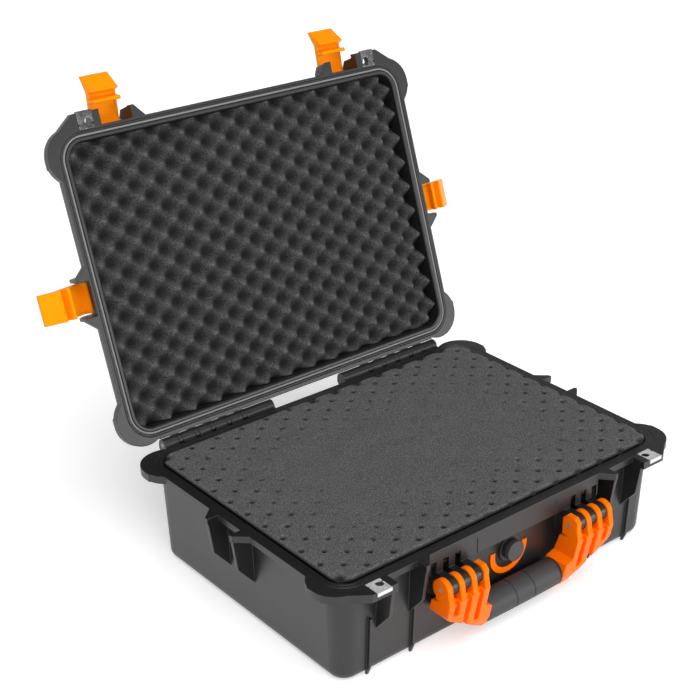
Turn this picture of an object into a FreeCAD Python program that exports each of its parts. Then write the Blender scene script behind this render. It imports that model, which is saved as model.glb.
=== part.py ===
import FreeCAD, Part
import math
import operator
import os
import Sketcher
from FreeCAD import Placement, Rotation, Vector

# Hard case for a laptop, open on its rear hinges, in millimetres.
# Origin at the centre of the flat underside, +X to the right, +Y to the back, +Z up.
# The lid is drawn closed and then swung open about the hinge axis, each latch about its own pin.

SIZES = {
    # Case mouth, walls and rim
    "opening_width": 450,
    "opening_depth": 319,
    "opening_radius": 21,
    "lip_slope": 1.5,
    "lip_angle": 45,
    "wall": 3.5,
    "draft": 2.2,
    "rim_width": 12,
    "flange_thick": 7.5,
    "base_height": 120,
    "floor_thick": 4,
    "bottom_round": 12,
    "lid_height": 42,
    "roof_thick": 3.5,
    "lid_round": 12,
    "rim_gap": 0.3,
    "overrun": 20,
    # Grooves in both rims and the gasket between the first two in the lid's rim
    "seal_inset": 3,
    "seal_width": 3.9,
    "seal_depth": 2,
    "seal_side": 0.7,
    "seal_fit": 0.05,
    "groove_depth": 0.8,
    "drip_inset": 8.6,
    "drip_width": 0.8,
    # Corner bumpers
    "bumper_inset_x": 20,
    "bumper_inset_y": 26.5,
    "bumper_radius": 30.5,
    "bumper_thick": 9,
    "bumper_run": 18,
    "bumper_flat": 8,
    "bumper_slope": 8.5,
    "lug_blend_angle": 71,
    # Padlock lugs and their steel plates
    "lug_width": 26.75,
    "lug_shoulder": 5,
    "lug_reach": 16.5,
    "lock_hole_radius": 4.5,
    "lock_hole_inset": 14.45,
    "lock_hole_edge": 11,
    "plate_thick": 1.5,
    "plate_width": 18,
    "plate_depth": 18,
    "plate_drop": 4,
    "notch_depth": 2,
    "notch_width": 2,
    "notch_back": 4,
    "seat_gap": 0.03,
    # Latch bays with their fins
    "latch_corner": 80,
    "bay_width": 38.5,
    "side_bay_shift": 3.4,
    "fin_thick": 4,
    "fin_reach": 13.5,
    "fin_drop": 43,
    "fin_taper": 6,
    "fin_foot": 24,
    "gusset_run": 12,
    "ear_rise": 24,
    "ear_height": 30,
    "ear_slope": 8,
    # Ribs on the front wall
    "rib_thick": 2.5,
    "rib_reach": 3.5,
    "rib_inset": 6,
    "rib_outset": 13,
    "rib_top": 50,
    "rib_foot": 9,
    # Skirt under the front rim
    "skirt_thick": 2.5,
    "skirt_drop": 26,
    "skirt_seam_place": 57,
    "skirt_seam_width": 1,
    "skirt_seam_depth": 0.8,
    "slot_width": 7.5,
    "slot_top": 13,
    # Hinge
    "hinge_corner": 35.5,
    "hinge_length": 149.5,
    "hinge_reach": 9.5,
    "knuckle_radius": 7,
    "hinge_step": 6,
    "hinge_drop": 34,
    "lid_knuckle_pitch": 21.5,
    "lid_knuckle_width": 5,
    "knuckle_gap": 0.5,
    "arm_rise": 26,
    "hinge_pin_radius": 2.4,
    "hinge_pin_inset": 4,
    "pin_fit": 0.05,
    "lid_angle": 109.1,
    # Latches
    "latch_width": 33.8,
    "latch_inset": 5,
    "latch_rise": 19,
    "latch_barrel": 4.6,
    "latch_standoff": 8,
    "latch_plate": 5,
    "bead_top": 27.6,
    "bead_thick": 4.2,
    "bead_reach": 10,
    "lip_root": 38.6,
    "lip_inner_drop": 41.4,
    "lip_inner": -1.5,
    "lip_tip": 22.6,
    "lip_tip_drop": 55,
    "lip_thick": 3,
    "latch_pin_radius": 2,
    "front_left_angle": 78,
    "front_right_angle": 84,
    "side_left_angle": 67.3,
    "side_right_angle": 74.7,
    "latch_hollow_inset": 6,
    "latch_hollow_depth": 1.6,
    "latch_edge": 2.4,
    "latch_back_depth": 1.2,
    # Carry handle
    "handle_reach": 13.5,
    "handle_drop": 36,
    "finger_pitch": 16.2,
    "finger_width": 6.5,
    "finger_radius": 11.5,
    "cap_chamfer": 5,
    "cap_back": 9,
    "neck_back": 6.5,
    "fork_clear": 2.75,
    "fork_top_drop": 12,
    "fork_top_slope": 5,
    "fork_back": 12.5,
    "fork_bulge": 14.3,
    "fork_bulge_drop": 13.6,
    "fork_outer_drop": 33,
    "fork_corner": 5,
    "fork_flare": 9.6,
    "fork_flare_rise": 20.5,
    "fork_flare_slope": 5,
    "groove_width": 7.3,
    "fork_groove_depth": 5,
    "groove_tip_drop": 7,
    "groove_shoulder_drop": 14.5,
    "groove_foot": 8,
    "handle_knuckle_radius": 10,
    "handle_knuckle_gap": 0.25,
    "handle_bracket": 20,
    "handle_pin_radius": 2.4,
    "handle_pin_proud": 0.5,
    "grip_drop": 58,
    "grip_back": 10.8,
    "grip_radius": 16,
    "collar_width": 1.8,
    "core_radius": 8,
    "grip_seam": 0.7,
    "seam_width": 1,
    "seam_place": 13,
    # Pressure valve and the raised arc below it
    "valve_drop": 47.5,
    "boss_radius": 15.5,
    "boss_reach": 1.5,
    "valve_flange_radius": 11.6,
    "valve_flange": 2,
    "valve_stem_radius": 6,
    "valve_bore": 3.5,
    "valve_seal_outer": 10.8,
    "valve_seal_inner": 5,
    "valve_seal_thick": 1,
    "knob_radius": 11.5,
    "knob_thick": 5.5,
    "knob_stem": 9,
    "nut_radius": 10,
    "nut_thick": 5,
    "nut_room": 3,
    "stem_proud": 1,
    "arc_drop": 52.2,
    "arc_outer": 26.5,
    "arc_width": 6.9,
    "arc_thick": 1.2,
    "arc_end": 5,
    # Foam
    "foam_fit": 0.3,
    "foam_proud": 4,
    "foam_top": 36,
    "foam_floor": 12,
    "lid_foam_depth": 6,
    "crate_pitch": 22.6,
    "crate_angle": 48.5,
    "crate_shift_x": 6.8,
    "crate_shift_y": -6.6,
    "crate_peak": 2,
    "crate_valley": 16,
}

document = FreeCAD.newDocument("LaptopHardCase")


def make_sheet():
    """Writes every named size into its own aliased cell."""
    made = document.addObject("Spreadsheet::Sheet", "Sizes")
    for row, (alias, number) in enumerate(SIZES.items(), start=1):
        made.set("A%d" % row, alias)
        made.set("B%d" % row, str(number))
        made.setAlias("B%d" % row, alias)
    document.recompute()
    return made


sheet = make_sheet()


class Size:
    """A number together with the expression that binds it to the sheet."""

    def __init__(self, number, text):
        self.number = number
        self.text = text

    def __add__(self, other):
        return combine(self, "+", other)

    def __radd__(self, other):
        return combine(other, "+", self)

    def __sub__(self, other):
        return combine(self, "-", other)

    def __rsub__(self, other):
        return combine(other, "-", self)

    def __mul__(self, other):
        return combine(self, "*", other)

    def __rmul__(self, other):
        return combine(other, "*", self)

    def __truediv__(self, other):
        return combine(self, "/", other)

    def __neg__(self):
        return combine(0, "-", self)


OPERATORS = {"+": operator.add, "-": operator.sub, "*": operator.mul, "/": operator.truediv}


def as_size(value):
    """The value itself if it is a size, else a plain number as one."""
    if isinstance(value, Size):
        return value
    return Size(float(value), "%.9f" % value)


def combine(left, sign, right):
    """Two sizes joined by an arithmetic sign."""
    left = as_size(left)
    right = as_size(right)
    number = OPERATORS[sign](left.number, right.number)
    return Size(number, "(%s %s %s)" % (left.text, sign, right.text))


def trig(name, angle):
    """The sine, cosine or tangent of an angle in degrees."""
    number = getattr(math, name)(math.radians(angle.number))
    return Size(number, "%s(%s * 1 deg)" % (name, angle.text))


def bind(item, path, value):
    """Ties one property of an object to a size."""
    item.setExpression(path, as_size(value).text)


class Sheet:
    """The sheet's cells as sizes, one attribute for each alias."""

    def __getattr__(self, alias):
        return Size(float(sheet.get(alias)), "Sizes." + alias)


size = Sheet()

# Places that several pieces share
RIGHT = 1
LEFT = -1
draft_share = trig("tan", size.draft)
mouth_x = size.opening_width / 2
mouth_y = size.opening_depth / 2
rim_x = mouth_x + size.rim_width
rim_y = mouth_y + size.rim_width
rim_radius = size.opening_radius + size.rim_width
cave_x = mouth_x - size.lip_slope
cave_y = mouth_y - size.lip_slope
cave_radius = size.opening_radius - size.lip_slope
wall_x = cave_x + size.wall
wall_y = cave_y + size.wall
wall_radius = cave_radius + size.wall
rim_z = size.base_height
lid_z = size.base_height + size.rim_gap
latch_place = rim_x - size.latch_corner
bay_inner = latch_place - size.bay_width / 2
bay_outer = latch_place + size.bay_width / 2
bay_fore = size.side_bay_shift - size.bay_width / 2
bay_rear = size.side_bay_shift + size.bay_width / 2
bay_foot = bay_inner - size.fin_thick - size.gusset_run
lug_end = bay_outer + size.lug_width
lug_y = rim_y + size.lug_reach
hole_x = bay_outer + size.lock_hole_inset
hole_y = lug_y - size.lock_hole_edge
hinge_y = rim_y + size.hinge_reach
heel_y = hinge_y - size.knuckle_radius - size.knuckle_gap
hinge_outer = rim_x - size.hinge_corner
hinge_inner = hinge_outer - size.hinge_length
handle_y = rim_y + size.handle_reach
handle_z = rim_z - size.handle_drop
grip_y = handle_y - size.grip_back
grip_z = handle_z - size.grip_drop
valve_z = rim_z - size.valve_drop
valve_y = wall_y + size.boss_reach
arc_z = rim_z - size.arc_drop
FINGERS = 4
LID_KNUCKLES = 5
fork_outer = bay_foot - size.fork_clear
fork_inner = fork_outer - (FINGERS - 1) * size.finger_pitch - size.finger_width
fork_hub = fork_inner - size.fork_flare
grip_half = fork_hub - size.collar_width
LEVEL_TOLERANCE = 1e-4

# The finished sub-parts
pieces = []


def wall_y_at(z):
    """Half depth of the base's outer wall at a height."""
    return wall_y - (rim_z - z) * draft_share


def polygon(points):
    """A closed outline through the points, each tied to the sketch's origin."""
    def draw(sketch):
        first = sketch.GeometryCount
        spots = [Vector(as_size(x).number, as_size(y).number, 0) for x, y in points]
        for spot, following in zip(spots, spots[1:] + spots[:1]):
            sketch.addGeometry(Part.LineSegment(spot, following))
        for place in range(len(points)):
            following = first + (place + 1) % len(points)
            sketch.addConstraint(
                Sketcher.Constraint("Coincident", first + place, 2, following, 1))
        for place, point in enumerate(points):
            tie(sketch, first + place, 1, point)
    return draw


def tie(sketch, geometry, end, point):
    """Fixes a point of the sketch at its two named coordinates."""
    for kind, axis, value in zip(("DistanceX", "DistanceY"), (-2, -1), point):
        if isinstance(value, Size):
            number = sketch.addConstraint(
                Sketcher.Constraint(kind, -1, 1, geometry, end, value.number))
            bind(sketch, "Constraints[%d]" % number, value)
        else:
            sketch.addConstraint(Sketcher.Constraint("PointOnObject", geometry, end, axis))


def rectangle(left, bottom, right, top):
    """A rectangle between two corners."""
    return polygon([(left, bottom), (right, bottom), (right, top), (left, top)])


def disc(x, y, radius):
    """A full circle."""
    def draw(sketch):
        centre = Vector(as_size(x).number, as_size(y).number, 0)
        geometry = sketch.addGeometry(Part.Circle(centre, Vector(0, 0, 1), radius.number))
        tie(sketch, geometry, 3, (x, y))
        number = sketch.addConstraint(Sketcher.Constraint("Radius", geometry, radius.number))
        bind(sketch, "Constraints[%d]" % number, radius)
    return draw


def round_box(half_x, half_y, radius):
    """A rectangle about the origin with round corners."""
    def draw(sketch):
        inner_x = half_x - radius
        inner_y = half_y - radius
        arcs = []
        for turn, (x, y) in enumerate([(inner_x, inner_y), (-inner_x, inner_y),
                                       (-inner_x, -inner_y), (inner_x, -inner_y)]):
            circle = Part.Circle(Vector(x.number, y.number, 0), Vector(0, 0, 1), radius.number)
            start = turn * math.pi / 2
            arc = Part.ArcOfCircle(circle, start, start + math.pi / 2)
            arcs.append(sketch.addGeometry(arc))
            tie(sketch, arcs[-1], 3, (x, y))
            number = sketch.addConstraint(
                Sketcher.Constraint("Radius", arcs[-1], radius.number))
            bind(sketch, "Constraints[%d]" % number, radius)
        for arc, following in zip(arcs, arcs[1:] + arcs[:1]):
            start = sketch.Geometry[arc].EndPoint
            end = sketch.Geometry[following].StartPoint
            line = sketch.addGeometry(Part.LineSegment(start, end))
            sketch.addConstraint(Sketcher.Constraint("Tangent", arc, 2, line, 1))
            sketch.addConstraint(Sketcher.Constraint("Tangent", line, 2, following, 1))
    return draw


def new_body(name):
    """An empty body whose label is the sub-part's name."""
    body = document.addObject("PartDesign::Body", name)
    body.Label = name
    pieces.append(body)
    return body


def plane_of(body, role):
    """One of the body's own origin planes."""
    return [item for item in body.Origin.OriginFeatures if item.Role == role][0]


def new_sketch(body, name, role, offset, loops, centre=None, turn=None):
    """A sketch at an offset from an origin plane, perhaps turned about its own centre."""
    sketch = body.newObject("Sketcher::SketchObject", name)
    sketch.AttachmentSupport = [(plane_of(body, role), "")]
    sketch.MapMode = "FlatFace"
    if turn:
        sign, angle = turn
        axis = Rotation(Vector(0, 0, sign), 1)
        sketch.AttachmentOffset = Placement(Vector(0, 0, 0), axis)
        bind(sketch, "AttachmentOffset.Rotation.Angle", angle)
    if centre:
        bind(sketch, "AttachmentOffset.Base.x", centre[0])
        bind(sketch, "AttachmentOffset.Base.y", centre[1])
    bind(sketch, "AttachmentOffset.Base.z", offset)
    for draw in loops:
        draw(sketch)
    return sketch


def extrude(body, name, role, low, high, loops, cut=False, centre=None, turn=None):
    """Adds the outlines between two places on the plane's axis, or cuts them away."""
    offset = -as_size(high) if role == "XZ_Plane" else as_size(low)
    sketch = new_sketch(body, name + "_outline", role, offset, loops, centre, turn)
    kind = "PartDesign::Pocket" if cut else "PartDesign::Pad"
    feature = body.newObject(kind, name)
    feature.Profile = sketch
    feature.Reversed = cut
    bind(feature, "Length", as_size(high) - low)
    return feature


def taper(body, name, start, depth, upward, loops, angle=None):
    """Adds a level outline that narrows by the angle as it leaves its plane."""
    sketch = new_sketch(body, name + "_outline", "XY_Plane", start, loops)
    feature = body.newObject("PartDesign::Pad", name)
    feature.Profile = sketch
    feature.Reversed = not upward
    bind(feature, "Length", depth)
    bind(feature, "TaperAngle", -(angle or size.draft))
    return feature


def round_level(body, name, z, radius):
    """Rounds the edges of the body that lie level at a height."""
    document.recompute()
    base = body.Tip
    edges = []
    for number, edge in enumerate(base.Shape.Edges, start=1):
        box = edge.BoundBox
        if abs(box.ZMin - z.number) + abs(box.ZMax - z.number) < LEVEL_TOLERANCE:
            edges.append("Edge%d" % number)
    feature = body.newObject("PartDesign::Fillet", name)
    feature.Base = (base, edges)
    bind(feature, "Radius", radius)
    return feature


TURNS = {
    "XY_Plane": ("z", Rotation()),
    "XZ_Plane": ("y", Rotation(Vector(1, 0, 0), 90)),
    "YZ_Plane": ("x", Rotation(Vector(1, 1, 1), 120)),
}


def prism(name, role, low, high, loops):
    """A separate solid: the outlines extruded between two places on the plane's axis."""
    letter, turn = TURNS[role]
    sketch = document.addObject("Sketcher::SketchObject", name + "_outline")
    sketch.Placement = Placement(Vector(0, 0, 0), turn)
    bind(sketch, "Placement.Base." + letter, high if role == "XZ_Plane" else low)
    for draw in loops:
        draw(sketch)
    made = document.addObject("Part::Extrusion", name)
    made.Base = sketch
    made.DirMode = "Normal"
    made.Solid = True
    bind(made, "LengthFwd", as_size(high) - low)
    return made


def tapered(name, start, depth, upward, loops, angle=None):
    """A separate solid that narrows by the angle as it leaves its level outline."""
    body = document.addObject("PartDesign::Body", name)
    taper(body, name + "_block", start, depth, upward, loops, angle=angle)
    return body


def make_shell(name, walls, right, whole, cuts):
    """Joins walls, the right-hand pieces and their mirror image, then takes the cuts away."""
    right_side = document.addObject("Part::MultiFuse", name + "_right")
    right_side.Shapes = right
    left_side = document.addObject("Part::Mirroring", name + "_left")
    left_side.Source = right_side
    left_side.Normal = Vector(1, 0, 0)
    joined = document.addObject("Part::MultiFuse", name + "_joined")
    joined.Shapes = [walls, right_side, left_side] + whole
    tools = document.addObject("Part::MultiFuse", name + "_tools")
    tools.Shapes = cuts
    shell = document.addObject("Part::Cut", name)
    shell.Base = joined
    shell.Tool = tools
    shell.Label = name
    pieces.append(shell)
    return shell


def open_lid(body):
    """Swings a piece that is drawn on the closed lid to where the open lid holds it."""
    body.Placement = Placement(Vector(0, 0, 0), Rotation(Vector(-1, 0, 0), 1))
    cosine = trig("cos", size.lid_angle)
    sine = trig("sin", size.lid_angle)
    bind(body, "Placement.Rotation.Angle", size.lid_angle)
    bind(body, "Placement.Base.y", hinge_y - hinge_y * cosine - rim_z * sine)
    bind(body, "Placement.Base.z", rim_z + hinge_y * sine - rim_z * cosine)


def bumper_loops():
    """Plan of the two right-hand corner bumpers and the padlock lug, as overlapping areas."""
    centre_x = rim_x - size.bumper_inset_x
    centre_y = rim_y - size.bumper_inset_y
    edge_x = centre_x + size.bumper_radius
    blend_x = centre_x + size.bumper_radius * trig("cos", size.lug_blend_angle)
    blend_y = centre_y + size.bumper_radius * trig("sin", size.lug_blend_angle)
    areas = []
    for end in (RIGHT, LEFT):
        areas.append([disc(centre_x, end * centre_y, size.bumper_radius)])
        areas.append([polygon([(centre_x, end * centre_y),
                               (rim_x, end * (centre_y - size.bumper_run)),
                               (edge_x, end * (centre_y - size.bumper_flat)),
                               (edge_x, end * centre_y)])])
    areas.append([polygon([(centre_x, centre_y),
                           (centre_x, centre_y + size.bumper_radius),
                           (centre_x - size.bumper_slope, rim_y)])])
    areas.append([polygon([(centre_x, -centre_y),
                           (blend_x, -blend_y),
                           (lug_end + size.lug_shoulder, -lug_y),
                           (bay_outer, -lug_y),
                           (bay_outer, -(rim_y - size.rim_width / 2)),
                           (centre_x - size.bumper_radius, -(rim_y - size.rim_width / 2))])])
    return areas


def rim_parts(low, high, bumper_low, bumper_high):
    """Right-hand corner bumpers and the gussets beside the latch bays."""
    parts = [prism("bumper", "XY_Plane", bumper_low, bumper_high, loops)
             for loops in bumper_loops()]
    root = size.rim_width / 2
    fin = size.fin_thick
    run = size.gusset_run
    tip_y = rim_y + size.fin_reach
    tip_x = rim_x + size.fin_reach
    front = polygon([(bay_inner, root - rim_y), (bay_inner, -tip_y), (bay_inner - fin, -tip_y),
                     (bay_inner - fin - run, -rim_y), (bay_inner - fin - run, root - rim_y)])
    sides = [polygon([(rim_x - root, edge), (tip_x, edge), (tip_x, edge + end * fin),
                      (rim_x, edge + end * (fin + run)), (rim_x - root, edge + end * (fin + run))])
             for end, edge in ((LEFT, bay_fore), (RIGHT, bay_rear))]
    parts.append(prism("gussets", "XY_Plane", low, high, [front] + sides))
    return parts


def flange(low, high):
    """The flat rim round the mouth."""
    return prism("flange", "XY_Plane", low, high, [round_box(rim_x, rim_y, rim_radius)])


def base_fins():
    """Right-hand fins beside the front and side latch bays, drawn by their side profile."""
    tip_y = rim_y + size.fin_reach
    tip_x = rim_x + size.fin_reach
    knee_z = rim_z - size.fin_drop
    foot_z = knee_z - size.fin_foot
    fin = size.fin_thick
    front = [polygon([(-cave_y, rim_z), (-tip_y, rim_z), (size.fin_taper - tip_y, knee_z),
                      (-wall_y_at(foot_z), foot_z), (-cave_y + size.wall, foot_z)])]
    foot_x = wall_x - (rim_z - foot_z) * draft_share
    side = [polygon([(cave_x, rim_z), (tip_x, rim_z), (tip_x - size.fin_taper, knee_z),
                     (foot_x, foot_z), (cave_x - size.wall, foot_z)])]
    return [
        prism("fin_inner", "YZ_Plane", bay_inner - fin, bay_inner, front),
        prism("fin_outer", "YZ_Plane", bay_outer, bay_outer + fin, front),
        prism("fin_rear", "XZ_Plane", bay_rear, bay_rear + fin, side),
        prism("fin_fore", "XZ_Plane", bay_fore - fin, bay_fore, side),
    ]


def base_ribs():
    """Upright ribs on the right of the front wall, each with a sloping foot."""
    top_z = rim_z - size.rib_top
    half = size.rib_thick / 2
    profile = [polygon([(-cave_y + size.wall, 0), (-wall_y_at(0), 0),
                        (-wall_y_at(size.rib_foot) - size.rib_reach, size.rib_foot),
                        (-wall_y_at(top_z) - size.rib_reach, top_z),
                        (-cave_y + size.wall, top_z)])]
    places = (bay_inner - size.rib_inset, bay_outer + size.rib_outset)
    return [prism("rib", "YZ_Plane", x - half, x + half, profile) for x in places]


def finger_x(number):
    """Centre of one finger of the right-hand fork."""
    return fork_inner + size.finger_width / 2 + number * size.finger_pitch


def handle_brackets():
    """Three knuckles on the right of the front wall that carry the handle's pin."""
    radius = size.handle_knuckle_radius
    half = (size.finger_pitch - size.finger_width) / 2 - size.handle_knuckle_gap
    root = -wall_y_at(handle_z - size.handle_bracket)
    profile = [polygon([(-cave_y, handle_z + radius), (-handle_y, handle_z + radius),
                        (-handle_y, handle_z - radius),
                        (root, handle_z - size.handle_bracket),
                        (-cave_y, handle_z - size.handle_bracket)])]
    round_end = [disc(-handle_y, handle_z, radius)]
    made = []
    for number in range(FINGERS - 1):
        x = finger_x(number) + size.finger_pitch / 2
        for name, loops in (("bracket", profile), ("bracket_end", round_end)):
            made.append(prism(name, "YZ_Plane", x - half, x + half, loops))
    return made


def hinge_blocks():
    """The right-hand hinge block of the base."""
    outer_y = hinge_y + size.knuckle_radius
    profile = [polygon([(cave_y, rim_z), (outer_y, rim_z), (outer_y, rim_z - size.hinge_step),
                        (wall_y_at(rim_z - size.hinge_drop), rim_z - size.hinge_drop),
                        (cave_y - size.wall, rim_z - size.hinge_drop)])]
    round_top = [disc(hinge_y, rim_z, size.knuckle_radius)]
    return [
        prism("hinge_block", "YZ_Plane", hinge_inner, hinge_outer, profile),
        prism("hinge_top", "YZ_Plane", hinge_inner, hinge_outer, round_top),
    ]


def knuckle_x(number):
    """Centre of one lid knuckle on the right."""
    return hinge_outer - (LID_KNUCKLES - number) * size.lid_knuckle_pitch


def hinge_slots():
    """Gaps in both hinge blocks for the lid's knuckles."""
    half = size.lid_knuckle_width / 2 + size.knuckle_gap
    far = hinge_y + size.overrun
    loops = []
    for number in range(LID_KNUCKLES):
        for side in (LEFT, RIGHT):
            x = side * knuckle_x(number)
            loops.append(rectangle(x - half, rim_y, x + half, far))
    low = rim_z - size.hinge_drop - size.overrun
    return prism("hinge_slots", "XY_Plane", low, rim_z + size.overrun, loops)


def skirt():
    """The right half of the panel that hangs from the front rim, notched over the fingers."""
    low = rim_z - size.skirt_drop
    points = [(0, rim_z), (0, low)]
    for number in range(1, FINGERS):
        x = finger_x(number)
        for edge, level in ((-1, low), (-1, rim_z - size.slot_top),
                            (1, rim_z - size.slot_top), (1, low)):
            points.append((x + edge * size.slot_width / 2, level))
    points += [(bay_foot, low), (bay_foot, rim_z)]
    return prism("skirt", "XZ_Plane", -rim_y, size.skirt_thick - rim_y, [polygon(points)])


def skirt_seams():
    """Shallow upright grooves in the skirt that frame its middle."""
    half = size.skirt_seam_width / 2
    low = rim_z - size.skirt_drop - size.overrun
    loops = []
    for side in (LEFT, RIGHT):
        near, far = span(side, size.skirt_seam_place - half, size.skirt_seam_place + half)
        loops.append(rectangle(near, low, far, rim_z - size.flange_thick))
    return prism("skirt_seams", "XZ_Plane", -rim_y - size.overrun,
                 size.skirt_seam_depth - rim_y, loops)


def rods(name, y, z, near, far, radius):
    """Round solids along X on both sides of the case, for cutting its bores."""
    return [prism(name, "YZ_Plane", low, high, [disc(y, z, radius)])
            for low, high in ((near, far), (-far, -near))]


def lock_holes(low, high, radius):
    """Round solids for cutting the padlock holes."""
    loops = [disc(side * hole_x, -hole_y, radius) for side in (LEFT, RIGHT)]
    return prism("lock_holes", "XY_Plane", low, high, loops)


def mouth_cuts(level, depth, upward, corner_round):
    """The cavity with its rounded far edge, and the sloping lip of the mouth."""
    cavity = tapered("cavity", level, depth, upward, [round_box(cave_x, cave_y, cave_radius)])
    end = level + depth if upward else level - depth
    round_level(cavity, "cavity_edge", end, corner_round)
    lip = tapered("lip", level, size.lip_slope, upward,
                  [round_box(mouth_x, mouth_y, size.opening_radius)], angle=size.lip_angle)
    return [cavity, lip]


def base_shell():
    """Lower half of the case."""
    walls = tapered("base_walls", rim_z, size.base_height, False,
                    [round_box(wall_x, wall_y, wall_radius)])
    round_level(walls, "bottom_edge", as_size(0), size.bottom_round)
    flange_low = rim_z - size.flange_thick
    right = rim_parts(flange_low, rim_z, rim_z - size.bumper_thick, rim_z)
    right += base_fins() + base_ribs() + handle_brackets() + hinge_blocks() + [skirt()]
    boss = prism("valve_boss", "XZ_Plane", -valve_y, -cave_y + size.wall,
                 [disc(0, valve_z, size.boss_radius)])
    above = rim_z + size.overrun
    cuts = mouth_cuts(rim_z, size.base_height - size.floor_thick, False,
                      size.bottom_round - size.wall)
    cuts.append(hinge_slots())
    seal_end = size.seal_inset + size.seal_width
    for near, far in ((size.seal_inset, size.seal_inset + size.seal_side),
                      (seal_end - size.seal_side, seal_end),
                      (size.drip_inset, size.drip_inset + size.drip_width)):
        cuts.append(prism("rim_groove", "XY_Plane", rim_z - size.groove_depth, above,
                          ring(near, far)))
    cuts.append(prism("plate_seats", "XY_Plane", rim_z - size.plate_thick, above, plate_seats()))
    cuts.append(lock_holes(rim_z - size.bumper_thick - size.overrun, above,
                           size.lock_hole_radius))
    cuts += rods("hinge_bore", hinge_y, rim_z, hinge_inner + size.hinge_pin_inset,
                 hinge_outer + size.overrun, size.hinge_pin_radius + size.pin_fit)
    cuts += rods("handle_bore", -handle_y, handle_z, fork_inner, fork_outer,
                 size.handle_pin_radius + size.pin_fit)
    cuts.append(prism("valve_hole", "XZ_Plane", -valve_y - size.overrun, -cave_y + size.overrun,
                      [disc(0, valve_z, size.valve_stem_radius + size.pin_fit)]))
    cuts.append(skirt_seams())
    make_shell("base_shell", walls, right, [flange(flange_low, rim_z), boss], cuts)


def plate_seats():
    """Where the steel plates lie in the padlock lugs."""
    seats = []
    for side in (LEFT, RIGHT):
        near, far = span(side, lug_end - size.plate_width, lug_end)
        seats.append(rectangle(near, -lug_y - size.overrun, far, size.plate_depth - lug_y))
    return seats


def lid_ears():
    """Right-hand fins of the lid that hold the latch pins."""
    tip_y = rim_y + size.fin_reach
    tip_x = rim_x + size.fin_reach
    knee_z = lid_z + size.ear_rise
    top_z = lid_z + size.ear_height
    fin = size.fin_thick
    front = [polygon([(-cave_y + size.wall, lid_z), (-tip_y, lid_z),
                      (size.fin_taper / 2 - tip_y, knee_z),
                      (size.fin_taper / 2 + size.ear_slope - tip_y, top_z),
                      (-cave_y + size.wall, top_z)])]
    side = [polygon([(cave_x - size.wall, lid_z), (tip_x, lid_z),
                     (tip_x - size.fin_taper / 2, knee_z),
                     (tip_x - size.fin_taper / 2 - size.ear_slope, top_z),
                     (cave_x - size.wall, top_z)])]
    return [
        prism("ear_inner", "YZ_Plane", bay_inner - fin, bay_inner, front),
        prism("ear_outer", "YZ_Plane", bay_outer, bay_outer + fin, front),
        prism("ear_rear", "XZ_Plane", bay_rear, bay_rear + fin, side),
        prism("ear_fore", "XZ_Plane", bay_fore - fin, bay_fore, side),
    ]


def lid_knuckles():
    """Right-hand hinge knuckles of the lid, each on a sloping arm."""
    half = size.lid_knuckle_width / 2
    arm = [polygon([(cave_y - size.wall, lid_z), (hinge_y, lid_z),
                    (hinge_y, rim_z + size.knuckle_radius),
                    (wall_y, lid_z + size.arm_rise),
                    (cave_y - size.wall, lid_z + size.arm_rise)])]
    eye = [disc(hinge_y, rim_z, size.knuckle_radius)]
    made = []
    for number in range(LID_KNUCKLES):
        x = knuckle_x(number)
        for name, loops in (("arm", arm), ("eye", eye)):
            made.append(prism(name, "YZ_Plane", x - half, x + half, loops))
    return made


def latch_axis(role):
    """Distance of a latch pin from the middle of the case, by the plane of its profile."""
    return (rim_y if role == "YZ_Plane" else rim_x) - size.latch_inset


def lid_shell():
    """Upper half of the case."""
    walls = tapered("lid_walls", lid_z, size.lid_height, True,
                    [round_box(wall_x, wall_y, wall_radius)])
    round_level(walls, "top_edge", lid_z + size.lid_height, size.lid_round)
    flange_high = lid_z + size.flange_thick
    right = rim_parts(lid_z, flange_high, lid_z, lid_z + size.bumper_thick)
    right += lid_ears() + lid_knuckles()
    right.append(prism("heel", "XY_Plane", lid_z, flange_high,
                       [rectangle(0, rim_y - size.rim_width / 2, hinge_outer, heel_y)]))
    below = lid_z - size.overrun
    cuts = mouth_cuts(lid_z, size.lid_height - size.roof_thick, True,
                      size.lid_round - size.wall)
    cuts.append(prism("gasket_groove", "XY_Plane", below, lid_z + size.seal_depth,
                      ring(size.seal_inset, size.seal_inset + size.seal_width)))
    cuts.append(prism("rim_groove", "XY_Plane", below, lid_z + size.groove_depth,
                      ring(size.drip_inset, size.drip_inset + size.drip_width)))
    cuts.append(prism("plate_seats", "XY_Plane", below, lid_z + size.plate_thick, plate_seats()))
    cuts.append(lock_holes(below, lid_z + size.bumper_thick + size.overrun,
                           size.lock_hole_radius))
    cuts += rods("hinge_bore", hinge_y, rim_z, hinge_inner, hinge_outer,
                 size.hinge_pin_radius + size.pin_fit)
    pin_z = lid_z + size.latch_rise
    reach = size.bay_width / 2 + size.fin_thick
    bore = size.latch_pin_radius + size.pin_fit
    cuts += rods("front_bore", -latch_axis("YZ_Plane"), pin_z, latch_place - reach,
                 latch_place + reach, bore)
    side_holes = [disc(side * latch_axis("XZ_Plane"), pin_z, bore) for side in (LEFT, RIGHT)]
    cuts.append(prism("side_bores", "XZ_Plane", size.side_bay_shift - reach,
                      size.side_bay_shift + reach, side_holes))
    shell = make_shell("lid_shell", walls, right, [flange(lid_z, flange_high)], cuts)
    open_lid(shell)


def ring(near, far):
    """Inner and outer outline of a band that runs round the mouth."""
    return [round_box(mouth_x + inset, mouth_y + inset, size.opening_radius + inset)
            for inset in (near, far)]


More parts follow.
